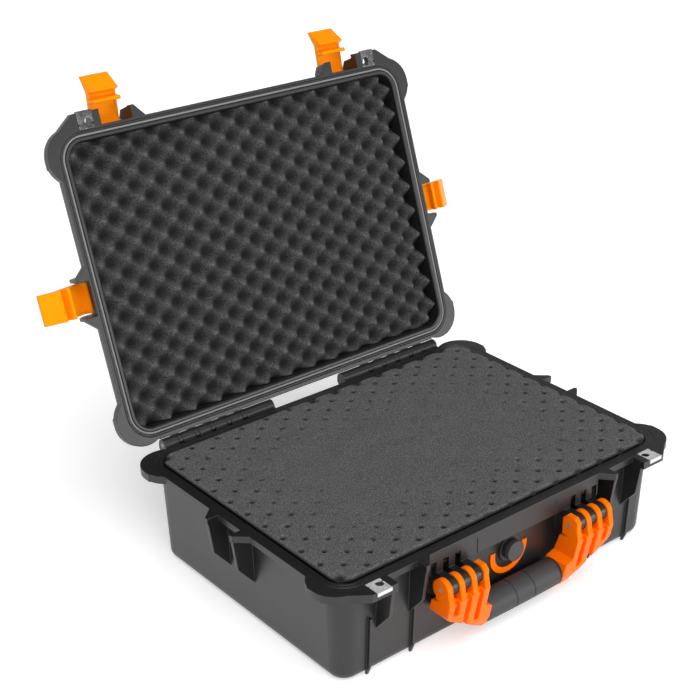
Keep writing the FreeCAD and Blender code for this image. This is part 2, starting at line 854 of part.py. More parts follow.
def lid_gasket():
    """Soft seal in the groove of the lid's rim."""
    body = new_body("lid_gasket")
    near = size.seal_inset + size.seal_side
    far = size.seal_inset + size.seal_width - size.seal_side
    extrude(body, "band", "XY_Plane", lid_z, lid_z + size.seal_depth - size.seal_fit,
            ring(near, far))
    open_lid(body)


def foam_block(body, top, depth, upward=False, foot_round=None):
    """A foam layer that follows the drafted walls; its outline is largest at its start."""
    gap = size.foam_fit
    fall = (top - lid_z if upward else rim_z - top) * draft_share
    taper(body, "block", top, depth, upward,
          [round_box(cave_x - gap - fall, cave_y - gap - fall, cave_radius - gap)])
    if foot_round:
        end = top + depth if upward else top - depth
        round_level(body, "foot_edge", end, foot_round)


def crate_cutters():
    """Two families of V-shaped valleys that cross the lid's foam at equal and opposite angles."""
    face_z = lid_z + size.lid_foam_depth
    peak_z = face_z - size.crate_peak
    valley_z = face_z + size.crate_valley
    pitch = size.crate_pitch
    across = cave_x * trig("cos", size.crate_angle) + cave_y * trig("sin", size.crate_angle)
    rows = math.ceil(across.number / pitch.number) + 1
    points = [(-rows * pitch, peak_z - size.crate_peak)]
    for row in range(-rows, rows):
        points.append((row * pitch, peak_z))
        points.append((row * pitch + pitch / 2, valley_z))
    points += [(rows * pitch, peak_z), (rows * pitch, peak_z - size.crate_peak)]
    far = cave_x + cave_y
    rising = prism("crate_rising", "XZ_Plane", -far, far, [polygon(points)])
    falling = document.addObject("Part::Mirroring", "crate_falling")
    falling.Source = rising
    falling.Normal = Vector(1, 0, 0)
    rising.Placement = Placement(Vector(0, 0, 0), Rotation(Vector(0, 0, 1), 1))
    bind(rising, "Placement.Rotation.Angle", size.crate_angle)
    return [rising, falling]


def lid_foam():
    """Egg-crate foam in the lid: a block crossed by two families of valleys."""
    depth = size.lid_height - size.roof_thick - size.foam_fit - size.lid_foam_depth
    block = document.addObject("PartDesign::Body", "lid_foam_block")
    foam_block(block, lid_z + size.lid_foam_depth, depth, upward=True,
               foot_round=size.lid_round - size.wall)
    valleys = document.addObject("Part::MultiFuse", "crate")
    valleys.Shapes = crate_cutters()
    bind(valleys, "Placement.Base.x", size.crate_shift_x)
    bind(valleys, "Placement.Base.y", size.crate_shift_y)
    foam = document.addObject("Part::Cut", "lid_foam")
    foam.Base = block
    foam.Tool = valleys
    foam.Label = "lid_foam"
    pieces.append(foam)
    open_lid(foam)


def base_foams():
    """Three layers of foam in the base."""
    gap = size.foam_fit
    top_z = rim_z + size.foam_proud
    core_top = top_z - size.foam_top - gap
    floor_top = size.floor_thick + gap + size.foam_floor
    top = new_body("base_foam_top")
    taper(top, "block", rim_z, size.foam_top - size.foam_proud, False,
          [round_box(cave_x - gap, cave_y - gap, cave_radius - gap)])
    taper(top, "crown", rim_z, size.foam_proud, True,
          [round_box(cave_x - gap, cave_y - gap, cave_radius - gap)])
    core = new_body("base_foam_core")
    foam_block(core, core_top, core_top - floor_top - gap)
    room_y = nut_face() + size.nut_thick + size.nut_room
    extrude(core, "nut_room", "XZ_Plane", -cave_y - size.overrun, room_y,
            [disc(0, valve_z, size.nut_radius + size.nut_room)], cut=True)
    foam_block(new_body("base_foam_floor"), floor_top, size.foam_floor,
               foot_round=size.bottom_round - size.wall)


def lock_plate(name, side, on_lid):
    """Bent and notched steel plate on a padlock lug of the base or of the lid."""
    body = new_body(name)
    near, far = span(side, lug_end - size.plate_width, lug_end)
    thick = size.plate_thick
    gap = size.seat_gap
    back = size.plate_depth - gap - lug_y
    if on_lid:
        low, high = lid_z, lid_z + thick - gap
        edge_low, edge_high = high, lid_z + size.plate_drop
    else:
        low, high = rim_z - thick + gap, rim_z
        edge_low, edge_high = rim_z - size.plate_drop, low
    extrude(body, "flat", "XY_Plane", low, high,
            [rectangle(near + gap, -lug_y - thick, far - gap, back)])
    extrude(body, "turned_edge", "XY_Plane", edge_low, edge_high,
            [rectangle(near + gap, -lug_y - thick, far - gap, -lug_y - gap)])
    extrude(body, "hole", "XY_Plane", low, high,
            [disc(side * hole_x, -hole_y, size.lock_hole_radius)], cut=True)
    notch_far = back - size.notch_back
    notch_near = notch_far - size.notch_width
    extrude(body, "notches", "XY_Plane", low, high,
            [rectangle(near - thick, notch_near, near + size.notch_depth, notch_far),
             rectangle(far - size.notch_depth, notch_near, far + thick, notch_far)], cut=True)
    if on_lid:
        open_lid(body)


def hinge_pin(name, side):
    """Steel hinge pin of one side."""
    body = new_body(name)
    near, far = span(side, hinge_inner + size.hinge_pin_inset + size.seat_gap, hinge_outer)
    extrude(body, "rod", "YZ_Plane", near, far, [disc(hinge_y, rim_z, size.hinge_pin_radius)])


def span(side, near, far):
    """A stretch along X on the chosen side, lower end first."""
    return (near, far) if side == RIGHT else (-far, -near)


def latch(name, role, outward, place, angle):
    """Over-centre latch, drawn hanging from its pin and swung open about it.

    The first coordinate points away from the case, the second up from the pin.
    """
    body = new_body(name)
    half = size.latch_width / 2
    back = size.latch_standoff
    front = back + size.latch_plate
    barrel = size.latch_barrel
    centre = (outward * latch_axis(role), lid_z + size.latch_rise)
    turn = (outward, angle)
    bead_round = size.bead_thick / 2
    bead_middle = -size.bead_top - bead_round
    bead_bottom = bead_middle - bead_round
    bead_end = back - size.bead_reach + bead_round

    def facing(points):
        return polygon([(x if x == 0 else outward * x, y) for x, y in points])

    def add(part, reach, loop, cut=False):
        extrude(body, part, role, place - reach, place + reach, [loop], cut=cut,
                centre=centre, turn=turn)

    add("plate", half, facing([
        (0, barrel), (front - size.latch_plate / 2, barrel), (front, barrel / 2),
        (front, -size.lip_root), (size.lip_tip, -size.lip_tip_drop),
        (size.lip_tip - size.lip_thick, -size.lip_tip_drop),
        (-size.lip_inner, -size.lip_inner_drop),
        (-size.lip_inner, size.lip_thick / 2 - size.lip_inner_drop),
        (back, -size.lip_root + size.lip_thick / 2), (back, -barrel), (0, -barrel),
    ]))
    add("barrel", half, disc(0, 0, barrel))
    add("bead", half, facing([(bead_end, -size.bead_top), (front - size.latch_plate / 2,
                                                           -size.bead_top),
                              (front - size.latch_plate / 2, bead_bottom),
                              (bead_end, bead_bottom)]))
    add("bead_edge", half, disc(outward * bead_end, bead_middle, bead_round))
    floor = front - size.latch_hollow_depth
    far = front + size.overrun
    add("hollow", half - size.latch_hollow_inset,
        facing([(floor, -barrel), (far, -barrel), (far, bead_bottom), (floor, bead_bottom)]),
        cut=True)
    deep = back + size.latch_back_depth
    for part, high, low in (("upper_panel", -barrel - size.latch_edge, -size.bead_top),
                            ("lower_panel", bead_bottom, -size.lip_root + size.latch_edge)):
        add(part, half - size.latch_edge,
            facing([(back - size.lip_thick, high), (deep, high), (deep, low),
                    (back - size.lip_thick, low)]), cut=True)
    add("pin_bore", half, disc(0, 0, size.latch_pin_radius + size.pin_fit), cut=True)
    open_lid(body)


def latch_pin(name, role, outward, place):
    """Steel pin of a latch."""
    body = new_body(name)
    reach = size.bay_width / 2 + size.fin_thick - size.seat_gap
    centre = [outward * latch_axis(role), lid_z + size.latch_rise]
    extrude(body, "rod", role, place - reach, place + reach,
            [disc(centre[0], centre[1], size.latch_pin_radius)])
    open_lid(body)


def latches():
    """Two latches on the front, one on each side, each swung open by its own angle."""
    for word, side, front_angle, side_angle in (
            ("left", LEFT, size.front_left_angle, size.side_left_angle),
            ("right", RIGHT, size.front_right_angle, size.side_right_angle)):
        place = side * latch_place
        latch("latch_front_" + word, "YZ_Plane", LEFT, place, front_angle)
        latch_pin("latch_pin_front_" + word, "YZ_Plane", LEFT, place)
        latch("latch_side_" + word, "XZ_Plane", side, size.side_bay_shift, side_angle)
        latch_pin("latch_pin_side_" + word, "XZ_Plane", side, size.side_bay_shift)


def common(name, shapes):
    """What several solids share."""
    made = document.addObject("Part::MultiCommon", name)
    made.Shapes = shapes
    return made


def fork_side(top_z, depth):
    """Side outline of a fork below its fingers, its front drawn back by a depth."""
    low_z = grip_z - size.grip_radius
    slant = size.grip_radius * trig("cos", size.lip_angle)
    return polygon([
        (-handle_y + size.fork_back, top_z - size.fork_top_slope),
        (depth - handle_y - size.neck_back, top_z),
        (depth - handle_y - size.fork_bulge, handle_z - size.fork_bulge_drop),
        (depth - grip_y - size.grip_radius, grip_z),
        (depth - grip_y - slant, grip_z - slant),
        (-grip_y, low_z),
        (slant - grip_y, grip_z - slant),
        (slant - grip_y, grip_z + slant),
    ])


def fork_body():
    """Body of the right-hand fork with its three grooves, as it hangs against the wall."""
    top_z = handle_z - size.fork_top_drop
    outer_z = handle_z - size.fork_outer_drop
    low_z = grip_z - size.grip_radius
    hub_z = grip_z + size.fork_flare_rise - size.fork_flare_slope
    corner = size.fork_corner
    front = polygon([
        (fork_inner, handle_z), (fork_outer, handle_z), (fork_outer, outer_z + corner),
        (fork_outer - corner / 2, outer_z), (fork_hub, low_z), (fork_hub, hub_z),
        (fork_inner, grip_z + size.fork_flare_rise)])
    far = size.overrun + size.fork_bulge + handle_y
    near = grip_y - size.grip_radius
    block = common("fork_block", [
        prism("fork_front", "XZ_Plane", -far, -near, [front]),
        prism("fork_side", "YZ_Plane", fork_hub, fork_outer, [fork_side(top_z, 0)])])
    share_x = fork_outer - corner / 2 - fork_hub
    grooves = []
    for number in range(FINGERS - 1):
        x = finger_x(number) + size.finger_pitch / 2
        half = size.groove_width / 2
        edge_z = low_z + (x - fork_hub) * (outer_z - low_z).number / share_x.number
        foot = -size.overrun if number == 1 else size.groove_foot
        grooves.append(polygon([
            (x, handle_z - size.groove_tip_drop),
            (x + half, handle_z - size.groove_shoulder_drop - half),
            (x + half, edge_z + foot + half / 2), (x, edge_z + foot),
            (x - half, edge_z + foot), (x - half, handle_z - size.groove_shoulder_drop - half)]))
    front_y = -handle_y - size.fork_bulge - size.overrun
    band = polygon([
        (size.fork_groove_depth - handle_y - size.neck_back, handle_z),
        (size.fork_groove_depth - handle_y - size.fork_bulge, handle_z - size.fork_bulge_drop),
        (size.fork_groove_depth - grip_y - size.grip_radius, grip_z),
        (size.fork_groove_depth - grip_y - size.grip_radius, low_z - size.overrun),
        (front_y, low_z - size.overrun), (front_y, handle_z)])
    made = document.addObject("Part::Cut", "fork_grooved")
    made.Base = block
    made.Tool = common("fork_grooves", [
        prism("groove_fronts", "XZ_Plane", -far, -near, grooves),
        prism("groove_sides", "YZ_Plane", fork_hub, fork_outer, [band])])
    return made


def handle_frame():
    """Orange frame of the handle: two forks and the bar inside the grip."""
    radius = size.finger_radius
    half = size.finger_width / 2
    chamfer = size.cap_chamfer
    bulge_z = handle_z - size.fork_bulge_drop
    neck_back = size.neck_back - handle_y
    bulge_y = -handle_y - size.fork_bulge
    neck = polygon([(neck_back, handle_z), (neck_back, bulge_z), (bulge_y, bulge_z),
                    (-radius - handle_y, handle_z)])
    cap = polygon([(size.cap_back - handle_y, bulge_z), (bulge_y, bulge_z),
                   (-radius - handle_y, handle_z), (-radius - handle_y, handle_z + radius - chamfer),
                   (chamfer - radius - handle_y, handle_z + radius),
                   (size.cap_back - chamfer - handle_y, handle_z + radius),
                   (size.cap_back - handle_y, handle_z + radius - chamfer)])
    right = [fork_body()]
    for number in range(FINGERS):
        x = finger_x(number)
        for name, loop in ((("neck", neck), ("tip", disc(-handle_y, handle_z, radius)))
                           if number else (("cap", cap),)):
            right.append(prism(name, "YZ_Plane", x - half, x + half, [loop]))
    bar = prism("bar", "YZ_Plane", -finger_x(0), finger_x(0),
                [disc(-grip_y, grip_z, size.core_radius)])
    cuts = rods("pin_bore", -handle_y, handle_z, fork_inner - size.overrun,
                fork_outer + size.overrun, size.handle_pin_radius + size.pin_fit)
    make_shell("handle_frame", bar, right, [], cuts)


def handle_grip():
    """Rubber sleeve of the handle with two shallow seams."""
    body = new_body("handle_grip")
    sleeve = [disc(-grip_y, grip_z, size.grip_radius),
              disc(-grip_y, grip_z, size.core_radius + size.seat_gap)]
    extrude(body, "sleeve", "YZ_Plane", -grip_half, grip_half, sleeve)
    groove = [disc(-grip_y, grip_z, size.grip_radius + size.overrun),
              disc(-grip_y, grip_z, size.grip_radius - size.grip_seam)]
    for word, side in (("left", LEFT), ("right", RIGHT)):
        near = side * size.seam_place - size.seam_width / 2
        extrude(body, "seam_" + word, "YZ_Plane", near, near + size.seam_width, groove, cut=True)


def handle_collar(name, side):
    """Dark ring between the grip and a fork."""
    body = new_body(name)
    near, far = span(side, grip_half + size.seat_gap, fork_hub - size.seat_gap)
    extrude(body, "ring", "YZ_Plane", near, far,
            [disc(-grip_y, grip_z, size.grip_radius - size.grip_seam),
             disc(-grip_y, grip_z, size.core_radius + size.seat_gap)])


def handle_pin(name, side):
    """Steel pin of one fork."""
    body = new_body(name)
    near, far = span(side, fork_inner - size.handle_pin_proud,
                     fork_outer + size.handle_pin_proud)
    extrude(body, "rod", "YZ_Plane", near, far, [disc(-handle_y, handle_z, size.handle_pin_radius)])


def nut_face():
    """Where the valve's nut meets the inside of the drafted front wall."""
    fall = (size.valve_drop + size.nut_radius) * draft_share
    return fall - cave_y + size.seat_gap


def valve():
    """Pressure valve: fixed body, nut inside the wall, seal and screw knob."""
    gap = size.seat_gap
    face = -valve_y - gap
    flange_y = face - size.valve_flange
    nut_y = nut_face()
    stem_y = nut_y + size.nut_thick + size.stem_proud
    body = new_body("valve_body")
    extrude(body, "flange", "XZ_Plane", flange_y, face, [disc(0, valve_z, size.valve_flange_radius)])
    extrude(body, "stem", "XZ_Plane", face, stem_y, [disc(0, valve_z, size.valve_stem_radius)])
    extrude(body, "bore", "XZ_Plane", flange_y, stem_y,
            [disc(0, valve_z, size.valve_bore + size.pin_fit)], cut=True)
    nut = new_body("valve_nut")
    extrude(nut, "ring", "XZ_Plane", nut_y, nut_y + size.nut_thick,
            [disc(0, valve_z, size.nut_radius),
             disc(0, valve_z, size.valve_stem_radius + size.pin_fit)])
    seal_y = flange_y - gap
    seal = new_body("valve_seal")
    extrude(seal, "ring", "XZ_Plane", seal_y - size.valve_seal_thick, seal_y,
            [disc(0, valve_z, size.valve_seal_outer), disc(0, valve_z, size.valve_seal_inner)])
    knob_y = seal_y - size.valve_seal_thick - gap
    knob = new_body("valve_knob")
    extrude(knob, "cap", "XZ_Plane", knob_y - size.knob_thick, knob_y,
            [disc(0, valve_z, size.knob_radius)])
    extrude(knob, "screw", "XZ_Plane", knob_y, knob_y + size.knob_stem,
            [disc(0, valve_z, size.valve_bore)])


def valve_arc():
    """Bare raised U-shaped band on the drafted wall round the valve."""
    body = new_body("valve_arc")
    outer = size.arc_outer
    inner = size.arc_outer - size.arc_width
    far = size.arc_outer + size.overrun
    extrude(body, "band", "XZ_Plane", -size.arc_thick, 0, [disc(0, 0, outer), disc(0, 0, inner)])
    extrude(body, "open_top", "XZ_Plane", -size.arc_thick, 0, [rectangle(-far, 0, far, far)],
            cut=True)
    ends = [rectangle(low, 0, high, size.arc_end)
            for low, high in (span(LEFT, inner, outer), span(RIGHT, inner, outer))]
    extrude(body, "ends", "XZ_Plane", -size.arc_thick, 0, ends)
    body.Placement = Placement(Vector(0, 0, 0), Rotation(Vector(1, 0, 0), 1))
    bind(body, "Placement.Rotation.Angle", size.draft)
    bind(body, "Placement.Base.y", -wall_y_at(arc_z) - size.seat_gap)
    bind(body, "Placement.Base.z", arc_z)


def main():
    """Builds every sub-part, checks it and writes its file."""
    base_shell()
    lid_shell()
    lid_gasket()
    lid_foam()
    base_foams()
    latches()
    handle_frame()
    handle_grip()
    valve()
    valve_arc()
    for word, side in (("left", LEFT), ("right", RIGHT)):
        lock_plate("lock_plate_" + word, side, on_lid=False)
        lock_plate("lid_plate_" + word, side, on_lid=True)
        hinge_pin("hinge_pin_" + word, side)
        handle_collar("handle_collar_" + word, side)
        handle_pin("handle_pin_" + word, side)
    document.recompute()
    failed = [item.Name for item in document.Objects
              if "Invalid" in item.State or "Error" in item.State]
    if failed:
        raise RuntimeError("These objects failed: " + ", ".join(failed))
    os.makedirs("parts", exist_ok=True)
    for piece in pieces:
        if piece.Shape.isNull() or not piece.Shape.isValid():
            raise RuntimeError("The shape of %s is not sound" % piece.Label)
    for piece in pieces:
        shape = piece.Shape
        shape.exportStep("parts/%s.step" % piece.Label)
        print("%-24s %d solid, %.0f cubic mm" % (piece.Label, len(shape.Solids), shape.Volume))


main()
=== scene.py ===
import math

import bmesh
import bpy
from mathutils import Matrix, Vector


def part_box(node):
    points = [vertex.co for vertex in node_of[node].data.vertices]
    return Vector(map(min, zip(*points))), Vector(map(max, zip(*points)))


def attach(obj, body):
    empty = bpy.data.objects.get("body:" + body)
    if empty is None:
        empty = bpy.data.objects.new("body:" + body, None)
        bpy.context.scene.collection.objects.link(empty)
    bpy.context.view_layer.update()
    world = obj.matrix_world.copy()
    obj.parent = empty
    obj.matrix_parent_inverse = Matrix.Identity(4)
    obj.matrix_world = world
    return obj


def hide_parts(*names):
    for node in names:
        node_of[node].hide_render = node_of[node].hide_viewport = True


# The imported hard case, lying open: the base on the floor, the lid swung back on its hinge.
# Everything is in metres, +X to the right, -Y to the front, +Z up.
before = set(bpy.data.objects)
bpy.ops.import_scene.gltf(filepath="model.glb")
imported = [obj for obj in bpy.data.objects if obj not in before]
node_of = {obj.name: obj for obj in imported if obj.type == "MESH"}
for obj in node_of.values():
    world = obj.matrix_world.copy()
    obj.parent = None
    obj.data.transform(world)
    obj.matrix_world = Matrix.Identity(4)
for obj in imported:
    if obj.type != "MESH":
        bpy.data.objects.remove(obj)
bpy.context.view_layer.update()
scene = bpy.context.scene
scene.view_settings.view_transform = "Standard"


# Camera
# It stands high at the front left of the case, with a long lens. Its place, lens and shift lay
# the rims and the hinge line of the case over those in the photograph.
CAMERA_PLACE = (-0.9512, -1.0724, 0.9292)
CAMERA_YAW = math.radians(49.49)
CAMERA_PITCH = math.radians(-27.67)
CAMERA_ROLL = math.radians(0.14)
CAMERA_SENSOR = 36.0
CAMERA_LENS = 76.9
CAMERA_SHIFT = (-0.048, 0.0753)
camera_data = bpy.data.cameras.new("photo_camera")
camera_data.sensor_width = CAMERA_SENSOR
camera_data.lens = CAMERA_LENS
camera_data.shift_x, camera_data.shift_y = CAMERA_SHIFT
camera = bpy.data.objects.new("photo_camera", camera_data)
scene.collection.objects.link(camera)
view_line = Vector((math.cos(CAMERA_PITCH) * math.cos(CAMERA_YAW),
                    math.cos(CAMERA_PITCH) * math.sin(CAMERA_YAW), math.sin(CAMERA_PITCH)))
camera.matrix_world = (Matrix.Translation(CAMERA_PLACE)
                       @ view_line.to_track_quat("-Z", "Y").to_matrix().to_4x4()
                       @ Matrix.Rotation(CAMERA_ROLL, 4, "Z"))
scene.camera = camera


# Shells of the base and of the lid
# Injection-moulded polypropylene, nearly black, with a fine even grain from an etched mould.
# The light on it comes almost wholly from its sheen, so its own colour stays very dark.
class Wire:
    """An output socket of a network; sums and products with it add Math nodes."""

    def __init__(self, network, socket):
        self.network = network
        self.socket = socket

    def __add__(self, other):
        return self.network.sum("ADD", self, other)

    def __radd__(self, other):
        return self.network.sum("ADD", other, self)

    def __sub__(self, other):
        return self.network.sum("SUBTRACT", self, other)

    def __rsub__(self, other):
        return self.network.sum("SUBTRACT", other, self)

    def __mul__(self, other):
        return self.network.sum("MULTIPLY", self, other)

    def __rmul__(self, other):
        return self.network.sum("MULTIPLY", other, self)


class Network:
    """The nodes of a material or of a world, joined by wires."""

    def __init__(self, owner):
        owner.use_nodes = True
        self.tree = owner.node_tree

    def node(self, kind, settings=None, values=None, output=0):
        """Adds a node: its settings first, then the values or wires of its sockets."""
        made = self.tree.nodes.new(kind)
        for name, value in (settings or {}).items():
            if name == "stops":
                self.set_stops(made.color_ramp, value)
            else:
                setattr(made, name, value)
        for name, value in (values or {}).items():
            if isinstance(value, Wire):
                self.tree.links.new(value.socket, made.inputs[name])
            else:
                made.inputs[name].default_value = value
        return Wire(self, made.outputs[output])

    def set_stops(self, ramp, stops):
        """Sets a ramp's places and colours."""
        while len(ramp.elements) < len(stops):
            ramp.elements.new(1.0)
        for element, (place, colour) in zip(ramp.elements, stops):
            element.position = place
            element.color = colour

    def sum(self, operation, *values):
        return self.node("ShaderNodeMath", {"operation": operation}, dict(enumerate(values)))

    def ramp(self, wire, *stops):
        """Colours along a wire's value, from stops of (value, colour)."""
        return self.node("ShaderNodeValToRGB", {"stops": stops}, {"Fac": wire}, "Color")


class Finish(Network):
    """A material with one Principled shader."""

    def __init__(self, name, **constants):
        self.material = bpy.data.materials.new(name)
        super().__init__(self.material)
        self.shader = self.tree.nodes["Principled BSDF"]
        self.fed = {}
        for socket, value in constants.items():
            self.shader.inputs[socket.replace("_", " ")].default_value = value

    def feed(self, socket, wire):
        """Joins a wire to the shader, and keeps it for a layer that lies over it."""
        self.fed[socket] = wire
        self.tree.links.new(wire.socket, self.shader.inputs[socket])

    def place(self):
        """Object coordinates, in metres."""
        return self.node("ShaderNodeTexCoord", output="Object")

    def along(self, direction):
        """How far a point lies along a direction."""
        return self.node("ShaderNodeVectorMath", {"operation": "DOT_PRODUCT"},
                         {0: self.place(), 1: direction}, "Value")

    def noise(self, scale, detail, roughness):
        """Soft noise of a given number of waves per metre, 0 to 1."""
        return self.node("ShaderNodeTexNoise", None,
                         {"Vector": self.place(), "Scale": scale, "Detail": detail,
                          "Roughness": roughness})

    def mix(self, factor, first, second):
        """A colour between two others: sockets 6 and 7 and output 2 of a Mix node are colours."""
        return self.node("ShaderNodeMix", {"data_type": "RGBA"},
                         {"Factor": factor, 6: first, 7: second}, 2)

    def bump(self, height, distance, under=None):
        """Normals of a relief of that many metres, laid over others."""
        values = {"Height": height, "Distance": distance, "Strength": 1.0}
        if under:
            values["Normal"] = under
        return self.node("ShaderNodeBump", None, values)

    def soft_edge(self, radius):
        """Normals that round every sharp edge by a radius."""
        return self.node("ShaderNodeBevel", {"samples": 6}, {"Radius": radius})


def grey(level):
    """An opaque neutral colour, a trace cool."""
    return (level, level, level * 1.02, 1.0)


def dress(finish, *names):
    """Gives CAD nodes a finish."""
    for name in names:
        materials = node_of[name].data.materials
        materials.clear()
        materials.append(finish.material)


CLOUD_SCALE = 14.0
SCUFF_SCALE = 130.0
GRAIN_SCALE = 1300.0
GRAIN_DEPTH = 0.00006


def moulded(name, dark, light, gloss, edge, sheen=0.5):
    """Grained plastic: even colour with faint clouds, grain in the bump and in the gloss."""
    finish = Finish(name, IOR=1.5, Specular_IOR_Level=sheen)
    clouds = finish.noise(CLOUD_SCALE, detail=4.0, roughness=0.55)
    scuffs = finish.noise(SCUFF_SCALE, detail=4.0, roughness=0.7)
    grain = finish.noise(GRAIN_SCALE, detail=2.0, roughness=0.6)
    wear = clouds * 0.4 + scuffs * 0.3 + grain * 0.3
    finish.feed("Base Color", finish.mix(wear, grey(dark), grey(light)))
    finish.feed("Roughness", gloss + clouds * 0.10 + scuffs * 0.05 + grain * 0.06)
    finish.feed("Normal", finish.bump(grain, GRAIN_DEPTH, under=finish.soft_edge(edge)))
    return finish


dress(moulded("shell_plastic", dark=0.0025, light=0.011, gloss=0.30, edge=0.0013, sheen=0.64),
      "base_shell", "lid_shell")


# Top layer of the base foam
# A sheet of dark grey open-cell polyurethane foam, cut to the mouth and laid loose in the base.
# It stands a little proud of the rim, and dimples pressed into it fade towards the middle. Its
# colour darkens with depth, a painted shade in the dimples and down the sides.
FOAM_FIT = 0.0002
FOAM_CORNER = 0.019
FOAM_STEP = 0.00125
FOAM_ROLL = 0.0032
FOAM_SKIN = 0.0046
FOAM_SKIN_TUCK = 0.0006
FOAM_WAIST = 0.0062
FOAM_TUCK = 0.0030
FOAM_SIDE_TAPER = 0.0004
FOAM_FOOT = 0.0015
FOAM_FOOT_TUCK = 0.0018
FOAM_LIFT = 0.0001
DIMPLE_PITCH_X = 0.03390
DIMPLE_PITCH_Y = 0.02990
DIMPLE_START_X = 0.0210
DIMPLE_START_Y = 0.0046
DIMPLE_SKEW = 0.019
DIMPLE_DEPTH = 0.0052
DIMPLE_LEAST = 0.0002
DIMPLE_RADIUS = 0.0024
DIMPLE_FADE = 0.060
EDGE_DIMPLE_REACH = 0.004
EDGE_DIMPLE_DEPTH = 0.0040
EDGE_DIMPLE_RADIUS = 0.0050
FOAM_DARK = 0.010
FOAM_LIGHT = 0.190
# Painted shade: the colour deep in the dimples and down the sides, and the depth over which it
# comes in.
FOAM_PAINTED_SHADE = 0.020
PAINTED_SHADE_REACH = 0.005
CELL_SCALE = 700.0
CELL_DEPTH = 0.0006
PATCH_SCALE = 40.0
PATCH_SHARE = 0.22


def cut_foam(name, dark, light, scale, depth):
    """Dull open cells: grains of light and dark over slow patches. Gives the colour as well."""
    finish = Finish(name, Roughness=0.95, IOR=1.35, Specular_IOR_Level=0.2)
    cells = finish.noise(scale, detail=3.0, roughness=0.75)
    patches = finish.noise(PATCH_SCALE, detail=3.0, roughness=0.6)
    grains = finish.ramp(cells, (0.34, grey(dark)), (0.66, grey(light)))
    worn = finish.mix(patches, grey(dark), grey(light))
    finish.feed("Normal", finish.bump(cells, depth))
    return finish, finish.mix(PATCH_SHARE, grains, worn)


def sheet_grid(half_x, half_y, corner, step, height):
    """A rounded rectangle of quads; only its outer band closes up in the round corners."""
    inner_x = half_x - corner
    inner_y = half_y - corner
    band = max(4, round(corner / step))
    arc = [corner * math.sin(number / band * math.pi / 2) for number in range(1, band + 1)]
    straight = round(2 * inner_x / step)
    columns = [-inner_x - past for past in arc[::-1]]
    columns += [-inner_x + 2 * inner_x * number / straight for number in range(straight + 1)]
    columns += [inner_x + past for past in arc]
    middle = round(2 * inner_y / step)
    rows = [-inner_y + 2 * inner_y * number / middle for number in range(middle + 1)]
    grid = []
    for x in columns:
        past = max(0.0, abs(x) - inner_x)
        reach = math.sqrt(max(0.0, corner ** 2 - past ** 2))
        outer = [inner_y + reach * number / band for number in range(1, band + 1)]
        places = [-y for y in outer[::-1]] + rows + outer
        grid.append([Vector((x, y, height(x, y))) for y in places])
    return grid


def slab(name, grid, underside):
    """A closed slab: the grid above, its outline carried down to rings, and a flat underside."""
    rows = len(grid[0])
    points = [point for line in grid for point in line]
    faces = []
    for column in range(len(grid) - 1):
        for row in range(rows - 1):
            first = column * rows + row
            faces.append((first, first + rows, first + rows + 1, first + 1))
    last = (len(grid) - 1) * rows
    border = [column * rows for column in range(len(grid))]
    border += [last + row for row in range(1, rows)]
    border += [column * rows + rows - 1 for column in range(len(grid) - 2, -1, -1)]
    border += list(range(rows - 2, 0, -1))
    ring = border
    for move in underside:
        lower = list(range(len(points), len(points) + len(border)))
        points += [move(points[number]) for number in border]
        for number in range(len(ring)):
            after = (number + 1) % len(ring)
            faces.append((ring[number], lower[number], lower[after], ring[after]))
        ring = lower
    faces.append(tuple(ring))
    return solid(name, points, faces)


def solid(name, points, faces):
    """A smooth closed mesh object with its faces turned outward."""
    data = bpy.data.meshes.new(name)
    data.from_pydata([tuple(point) for point in points], [], faces)
    work = bmesh.new()
    work.from_mesh(data)
    bmesh.ops.recalc_face_normals(work, faces=work.faces)
    work.to_mesh(data)
    work.free()
    data.polygons.foreach_set("use_smooth", [True] * len(data.polygons))
    made = bpy.data.objects.new(name, data)
    scene.collection.objects.link(made)
    return made


def inward(half_x, half_y, tuck, z):
    """Moves an outline point inward by a tuck, to a height."""
    def move(point):
        return Vector((point.x * (1 - tuck / half_x), point.y * (1 - tuck / half_y), z))
    return move


def edge_gap(x, y, half_x, half_y, corner):
    """Distance inward from the rounded outline."""
    over_x = abs(x) - (half_x - corner)
    over_y = abs(y) - (half_y - corner)
    outside = math.hypot(max(over_x, 0.0), max(over_y, 0.0))
    return corner - outside - min(max(over_x, over_y), 0.0)


def nearest_dimple(x, y):
    """Distance to the nearest dimple, and its middle; every second row stands between others."""
    best = None
    for shift in (0.0, 0.5):
        near_x = (round((x - DIMPLE_START_X) / DIMPLE_PITCH_X - shift) + shift) * DIMPLE_PITCH_X
        near_x += DIMPLE_START_X
        start_y = DIMPLE_START_Y + DIMPLE_SKEW * near_x
        near_y = (round((y - start_y) / DIMPLE_PITCH_Y - shift) + shift) * DIMPLE_PITCH_Y
        near_y += start_y
        gap = math.hypot(x - near_x, y - near_y)
        if best is None or gap < best[0]:
            best = (gap, near_x, near_y)
    return best


foam_low, foam_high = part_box("base_foam_top")
foam_half_x = foam_high.x - FOAM_FIT
foam_half_y = foam_high.y - FOAM_FIT


def dimpled(x, y):
    """Height of the top layer's face: dimples, wide ones at the very edge, and a rolled edge."""
    gap, near_x, near_y = nearest_dimple(x, y)
    rim = edge_gap(near_x, near_y, foam_half_x, foam_half_y, FOAM_CORNER)
    depth = DIMPLE_DEPTH * math.exp(-(max(rim, 0.0) / DIMPLE_FADE) ** 2) + DIMPLE_LEAST
    radius = DIMPLE_RADIUS
    if rim < EDGE_DIMPLE_REACH:
        depth, radius = EDGE_DIMPLE_DEPTH, EDGE_DIMPLE_RADIUS
    dent = depth * math.exp(-(gap / radius) ** 2)
    curl = max(0.0, FOAM_ROLL - edge_gap(x, y, foam_half_x, foam_half_y, FOAM_CORNER))
    drop = FOAM_ROLL - math.sqrt(max(0.0, FOAM_ROLL ** 2 - curl ** 2))
    return foam_high.z - dent - drop


